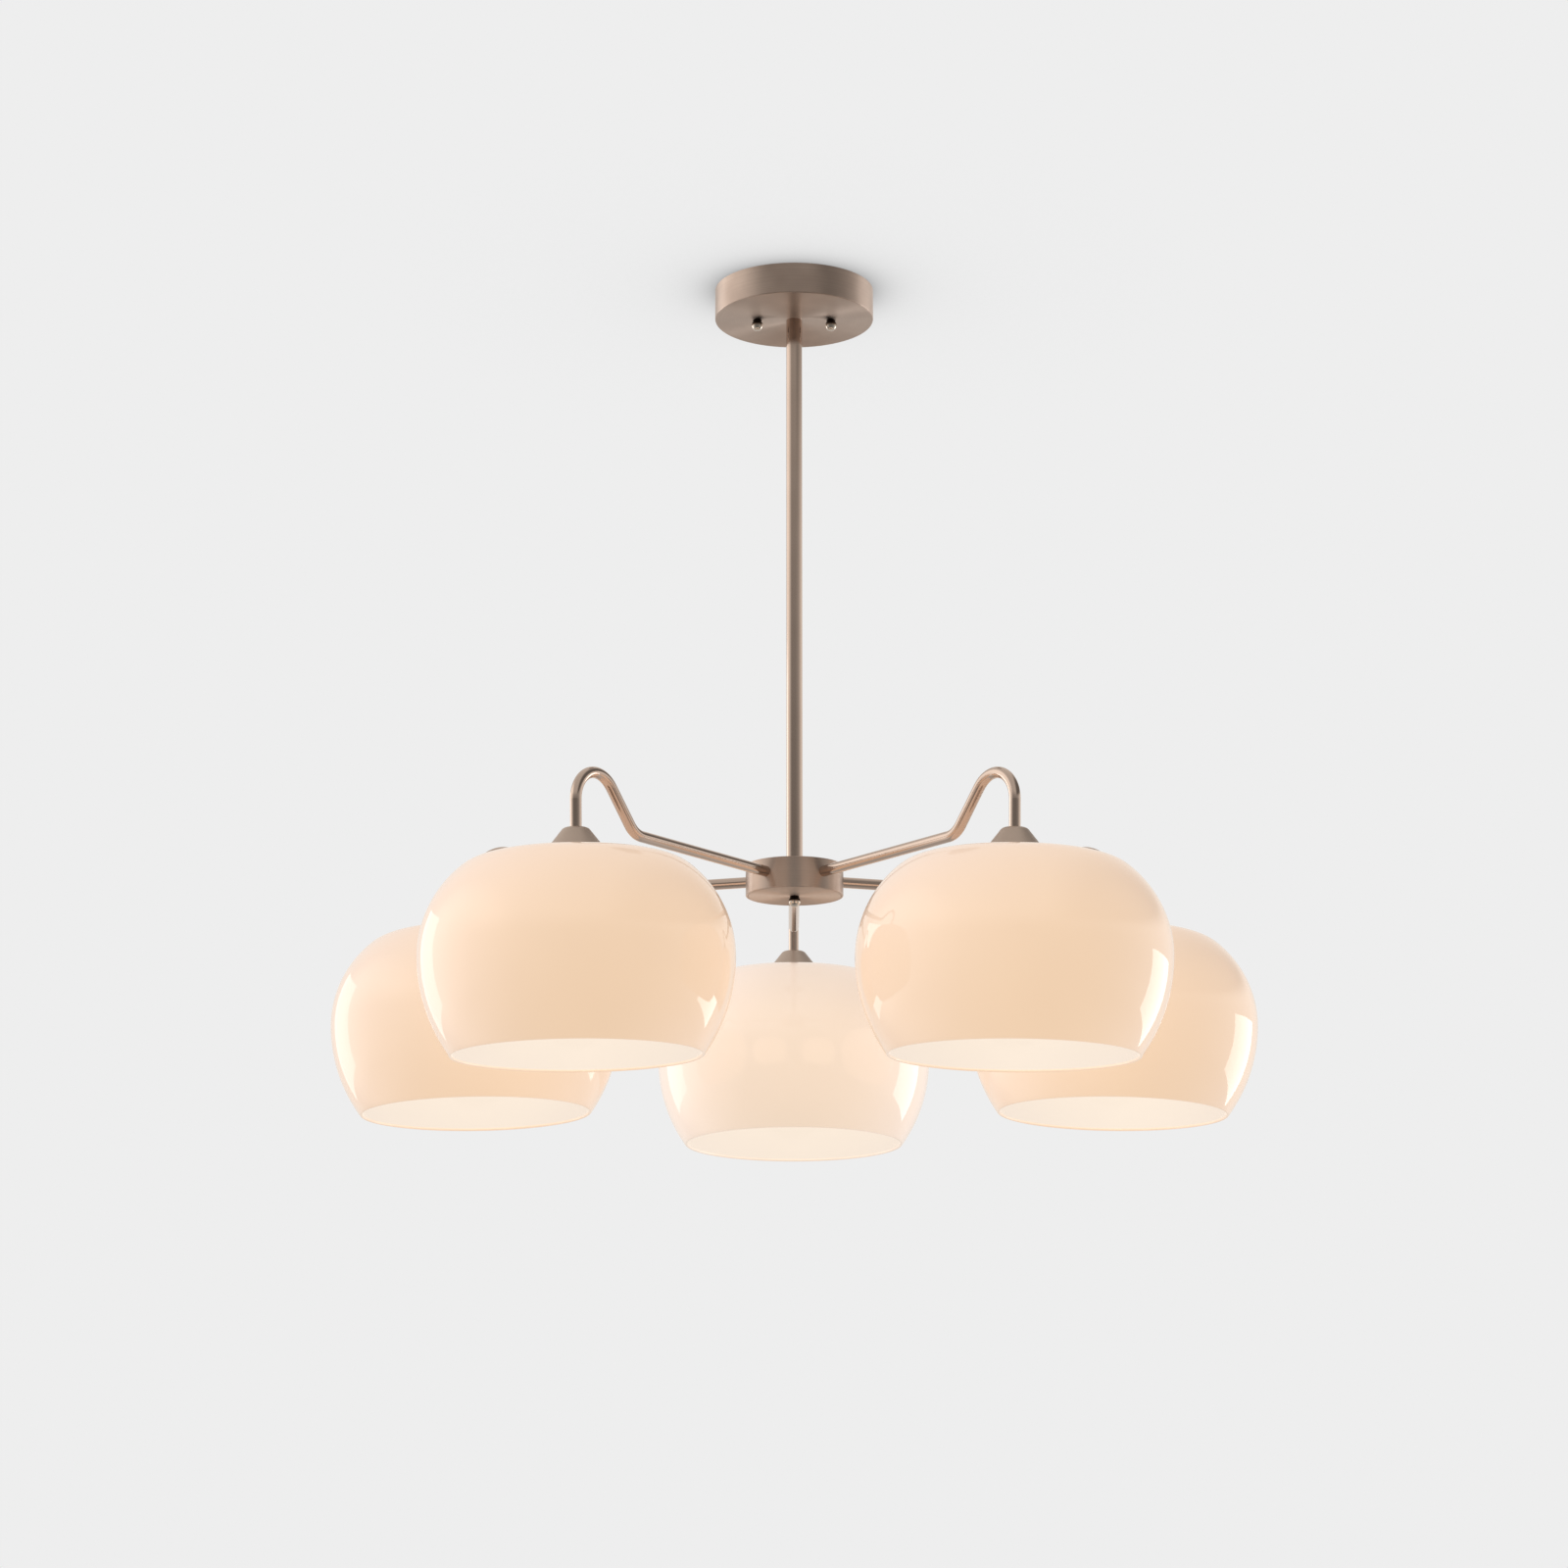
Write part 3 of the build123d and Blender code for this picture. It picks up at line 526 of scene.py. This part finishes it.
def fade(height, low, high, ease):
    # lets a thread run out over ease at both its ends
    return max(0.0, min(1.0, (height - low) / ease, (high - height) / ease))


def evenPoints(radius, start, end, step):
    count = max(1, round(abs(end - start) / step))
    return [(radius, start + (end - start) * i / count) for i in range(count + 1)]


def ringThread(radius, height, turn):
    c = socket
    if radius < c["radius"] - c["edge"] / 2:
        return radius
    depth = c["threadDepth"] * fade(height, c["threadLow"], 0, c["threadPitch"] / 2)
    return radius - depth * (1 - screwWave(height, turn, c["threadPitch"]))


def lampholder(number):
    c = socket
    bend = c["domeRound"]
    top = [(c["tube"], c["domeTop"]), (c["topFlat"], c["domeTop"]),
           *arc((c["dome"] - bend, c["domeTop"] - bend), bend, pi / 2, 0, c["roundSteps"]),
           (c["dome"], c["shoulder"] + c["edge"]), (c["radius"] - c["edge"], c["shoulder"]),
           (c["radius"], c["shoulder"] - c["edge"])]
    thread = evenPoints(c["radius"], 0, c["edge"] - c["drop"], c["threadPitch"] / c["stepsPerTurn"])
    inside = [(c["radius"] - c["edge"], -c["drop"]), (c["bore"] + c["edge"], -c["drop"]),
              (c["bore"], c["edge"] - c["drop"]), (c["bore"], c["contact"]), (c["wire"], c["contact"]),
              (c["wire"], c["chamberFloor"]), (c["chamber"], c["chamberFloor"]),
              (c["chamber"], c["legEnd"]), (c["tube"], c["legEnd"])]
    piece = turned(f"lampholder_body_{number}", [([*top, *thread, *inside], 0)], [moulded["mouldedPhenolic"]],
                   c["segments"], ringThread, closed=True)
    fit(piece, number, "stem", "holder_plastic", f"lampholder_{number}")


def shellThread(radius, height, turn):
    c = socket
    if radius < c["shellBore"] / 2:
        return radius
    depth = c["screwDepth"] * fade(height, c["shellLow"], c["shellTop"], c["screwPitch"] / 2)
    return radius + depth * screwWave(height, turn, c["screwPitch"])


def socketContacts(number):
    c = socket
    step = c["screwPitch"] / c["stepsPerTurn"]
    inner = evenPoints(c["shellBore"], c["shellTop"], c["shellLow"], step)
    outer = evenPoints(c["shellBore"] + c["shellSheet"], c["shellTop"], c["shellLow"], step)
    shell = turned(f"screw_shell_{number}", [([*inner, *reversed(outer)], 0)], [metal["turnedBrass"]],
                   c["segments"], shellThread, closed=True)
    top, low, edge = c["contact"], c["contact"] - c["contactSheet"], c["contactEdge"]
    button = [(0, top), (c["contactRadius"], top), (c["contactRadius"], low + edge),
              (c["contactRadius"] - edge, low), (0, low)]
    centre = turned(f"centre_contact_{number}", [(button, 0)], [metal["turnedBrass"]], c["contactSegments"])
    return shell, centre


# Bulbs: a rolled screw cap with a soldered tip in black glass, and the frosted glass

bulb = {
    "tip": -8.4 * mm, "tipRadius": 3.6 * mm, "bead": -9.4 * mm, "beadRadius": 4.2 * mm, "foot": -10 * mm,
    "footRadius": 9 * mm, "radius": 13.2 * mm, "shoulder": -13.4 * mm, "threadLow": -30 * mm,
    "end": -34 * mm, "pitch": 3.63 * mm, "depth": 0.9 * mm, "edge": 0.4 * mm,
    "segments": 96, "stepsPerTurn": 8,
}


def capThread(radius, height, turn):
    c = bulb
    if radius < c["radius"] - c["edge"]:
        return radius
    depth = c["depth"] * fade(height, c["threadLow"], c["shoulder"], c["pitch"] / 2)
    return radius - depth * (1 - screwWave(height, turn, c["pitch"]))


def screwCap(number):
    c = bulb
    edge = c["edge"]
    tip = [(0, c["tip"]), (c["tipRadius"] - 2 * edge, c["tip"]), (c["tipRadius"], c["tip"] - edge)]
    bead = [(c["beadRadius"], c["bead"]), (c["footRadius"], c["foot"])]
    thread = evenPoints(c["radius"], c["shoulder"], c["end"], c["pitch"] / c["stepsPerTurn"])
    shell = [(c["footRadius"] + edge, c["foot"]), (c["radius"] - 1.5 * edge, c["shoulder"] + 2 * edge),
             *thread, (0, c["end"])]
    materials = [metal["rolledAluminium"], metal["turnedBrass"], moulded["blackGlass"]]
    piece = turned(f"screw_cap_{number}", [(tip, 1), (bead, 2), (shell, 0)], materials, c["segments"],
                   capThread)
    fit(piece, number, f"bulb_{number}", "bulb_cap_metal", f"bulb_cap_{number}")


for number in lampNumbers:
    glassShade(number)
    retainingRing(number)
    lampholder(number)
    screwCap(number)
    for contact in socketContacts(number):
        fit(contact, number, "stem", "brass", "holder_contacts")
print("lamps built")

# camera at the viewing angle: below the lamp, looking a little up

cameraPlace = {"x": -7.7 * mm, "distance": 2.63, "height": -1.0006, "tilt": 13.17,
               "lens": 84.08, "sensor": 36}
cameraData = bpy.data.cameras.new("camera")
cameraData.lens = cameraPlace["lens"]
cameraData.sensor_width = cameraPlace["sensor"]
camera = bpy.data.objects.new("camera", cameraData)
scene.collection.objects.link(camera)
camera.location = (cameraPlace["x"], -cameraPlace["distance"], cameraPlace["height"])
camera.rotation_euler = (radians(90 + cameraPlace["tilt"]), 0, 0)
scene.camera = camera

# ceiling, floor and light

room = {
    "paper": "#eeeeee", "ceilingReach": 3.0, "ceilingGap": 0.6 * mm, "floorReach": 30.0, "floorDrop": 2.5,
    "rimSegments": 96, "warmth": "#f5efe8",
    # how bright each side of the room is
    "front": 0.24, "above": 0.8, "low": 0.66, "back": 0.95, "flag": 0.25, "left": 2.0, "right": 1.3,
    # where each side starts and is complete, on the direction's own axes from -1 to 1
    "aboveBand": (0.15, 0.5), "lowBand": (-0.4, -0.15), "depthBand": (-0.75, 0.5), "flagBand": (0.27, 0.4),
    "rightBand": (0.25, 0.7), "leftBand": (-0.6, -0.9),
}


def disc(name, radius, height, material):
    mesh = bpy.data.meshes.new(name)
    work = bmesh.new()
    bmesh.ops.create_circle(work, cap_ends=True, radius=radius, segments=room["rimSegments"])
    bmesh.ops.translate(work, verts=work.verts, vec=(0, 0, height))
    work.to_mesh(mesh)
    work.free()
    mesh.materials.append(material)
    piece = bpy.data.objects.new(name, mesh)
    scene.collection.objects.link(piece)
    return piece


# Flat white ceiling paint: darkens only where the canopy keeps the room's light off it
halo = {"reach": 0.32, "samples": 16, "closed": 0.5, "deepest": 0.52}


def ceilingPaint():
    material, tree = newMaterial("ceilingPaint")
    hollow = addNode(tree, "ShaderNodeAmbientOcclusion", {"samples": halo["samples"]},
                     {"Distance": halo["reach"]})
    depth = addNode(tree, "ShaderNodeMapRange",
                    links={"Value": hollow.outputs["AO"], "From Min": halo["closed"],
                           "To Min": halo["deepest"], "To Max": 1.0})
    light = addNode(tree, "ShaderNodeEmission",
                    links={"Color": linear(room["paper"]), "Strength": depth.outputs[0]})
    clear = addNode(tree, "ShaderNodeBsdfTransparent")
    side = addNode(tree, "ShaderNodeNewGeometry")
    shown = addNode(tree, "ShaderNodeMixShader",
                    links={"Fac": side.outputs["Backfacing"], 1: light.outputs[0], 2: clear.outputs[0]})
    closeMaterial(tree, shown)
    return material


# Mat background paper on the floor: an even pale grey with a faint fibre mottle
mat = {
    "colour": "#eaeaea", "shade": "#e6e6e6", "roughness": 0.9, "specular": 0.1,
    "lift": "#e9edf6", "liftStrength": 0.32,  # keeps it as pale as the backdrop behind it
    "fibre": 3.33 * mm,  # drawn coarser than real fibres, which wouldn't show
}


def matPaper():
    material, tree = newMaterial("matPaper")
    place = addNode(tree, "ShaderNodeTexCoord")
    fibre = addNode(tree, "ShaderNodeTexNoise",
                    links={"Vector": place.outputs["Object"], "Scale": 1 / mat["fibre"]})
    tint = addNode(tree, "ShaderNodeMix", {"data_type": "RGBA"},
                   {"Factor": fibre.outputs["Fac"], "A": linear(mat["shade"]), "B": linear(mat["colour"])})
    shader = addNode(tree, "ShaderNodeBsdfPrincipled",
                     links={"Base Color": tint.outputs["Result"], "Roughness": mat["roughness"],
                            "Specular IOR Level": mat["specular"], "Emission Color": linear(mat["lift"]),
                            "Emission Strength": mat["liftStrength"]})
    closeMaterial(tree, shader)
    return material


ceiling = disc("ceiling", room["ceilingReach"], room["ceilingGap"], ceilingPaint())
ceiling.data.flip_normals()  # its painted side faces down
for ray in ("diffuse", "glossy", "transmission", "volume_scatter", "shadow"):
    setattr(ceiling, "visible_" + ray, False)
floor = disc("floor", room["floorReach"], cadLow.z - room["floorDrop"], matPaper())
floor.visible_glossy = False  # its light is in the world already, so the lamp neither mirrors nor catches it
floor.visible_diffuse = False


def roomLight():
    # an even pale backdrop; what the metal and glass mirror is darker in front and paler behind
    world = bpy.data.worlds.new("room")
    scene.world = world
    world.use_nodes = True
    tree = world.node_tree
    tree.nodes.clear()
    place = addNode(tree, "ShaderNodeTexCoord")
    axes = addNode(tree, "ShaderNodeSeparateXYZ", links={"Vector": place.outputs["Generated"]})
    x, y, z = (axes.outputs[axis] for axis in "XYZ")
    aboveStart, aboveEnd = room["aboveBand"]
    lowStart, lowEnd = room["lowBand"]
    depthStart, depthEnd = room["depthBand"]
    flagStart, flagEnd = room["flagBand"]
    rightStart, rightEnd = room["rightBand"]
    leftStart, leftEnd = room["leftBand"]
    lift = addNode(tree, "ShaderNodeMapRange", smooth,
                   {"Value": z, "From Min": aboveStart, "From Max": aboveEnd,
                    "To Min": room["front"], "To Max": room["above"]})
    sink = addNode(tree, "ShaderNodeMapRange", smooth,
                   {"Value": z, "From Min": lowStart, "From Max": lowEnd,
                    "To Min": room["low"], "To Max": room["back"]})
    depth = addNode(tree, "ShaderNodeMapRange", smooth,
                    {"Value": y, "From Min": depthStart, "From Max": depthEnd,
                     "To Min": lift.outputs[0], "To Max": sink.outputs[0]})
    high = addNode(tree, "ShaderNodeMapRange", smooth,
                   {"Value": z, "From Min": flagStart, "From Max": flagEnd,
                    "To Min": room["right"], "To Max": room["flag"]})
    right = addNode(tree, "ShaderNodeMapRange", smooth,
                    {"Value": x, "From Min": rightStart, "From Max": rightEnd,
                     "To Min": 1.0, "To Max": high.outputs[0]})
    left = addNode(tree, "ShaderNodeMapRange", smooth,
                   {"Value": x, "From Min": leftStart, "From Max": leftEnd,
                    "To Min": 1.0, "To Max": room["left"]})
    sides = addNode(tree, "ShaderNodeMath", {"operation": "MULTIPLY"},
                    {0: left.outputs[0], 1: right.outputs[0]})
    strength = addNode(tree, "ShaderNodeMath", {"operation": "MULTIPLY"},
                       {0: depth.outputs[0], 1: sides.outputs[0]})
    seen = addNode(tree, "ShaderNodeBackground", links={"Color": linear(room["paper"]), "Strength": 1.0})
    mirrored = addNode(tree, "ShaderNodeBackground",
                       links={"Color": linear(room["warmth"]), "Strength": strength.outputs[0]})
    path = addNode(tree, "ShaderNodeLightPath")
    both = addNode(tree, "ShaderNodeMixShader",
                   links={"Fac": path.outputs["Is Camera Ray"], 1: mirrored.outputs[0], 2: seen.outputs[0]})
    addNode(tree, "ShaderNodeOutputWorld", links={"Surface": both.outputs[0]})


softboxes = {
    # azimuth in degrees from straight behind towards +X, sizes in metres and power in watts
    "windowRight": {"azimuth": 60, "height": -0.74, "away": 2.4, "width": 1.25, "tall": 1.0, "power": 9},
    "panelLeft": {"azimuth": -54, "height": -0.35, "away": 2.2, "width": 1.0, "tall": 1.3, "power": 4},
}
softboxAim = 0.85  # share of the lamp's height, which is at the glasses


def softbox(name, values):
    light = bpy.data.lights.new(name, "AREA")
    light.shape = "RECTANGLE"
    light.size, light.size_y = values["width"], values["tall"]
    light.energy = values["power"]
    piece = bpy.data.objects.new(name, light)
    turn = radians(values["azimuth"])
    piece.location = (values["away"] * sin(turn), values["away"] * cos(turn), values["height"])
    aim = Vector((0, 0, cadLow.z * softboxAim)) - piece.location
    piece.rotation_euler = aim.to_track_quat("-Z", "Y").to_euler()
    piece.visible_camera = False
    scene.collection.objects.link(piece)


roomLight()
for name, values in softboxes.items():
    softbox(name, values)
scene.view_settings.view_transform = "Standard"
scene.cycles.use_denoising = True
print("room and light made")
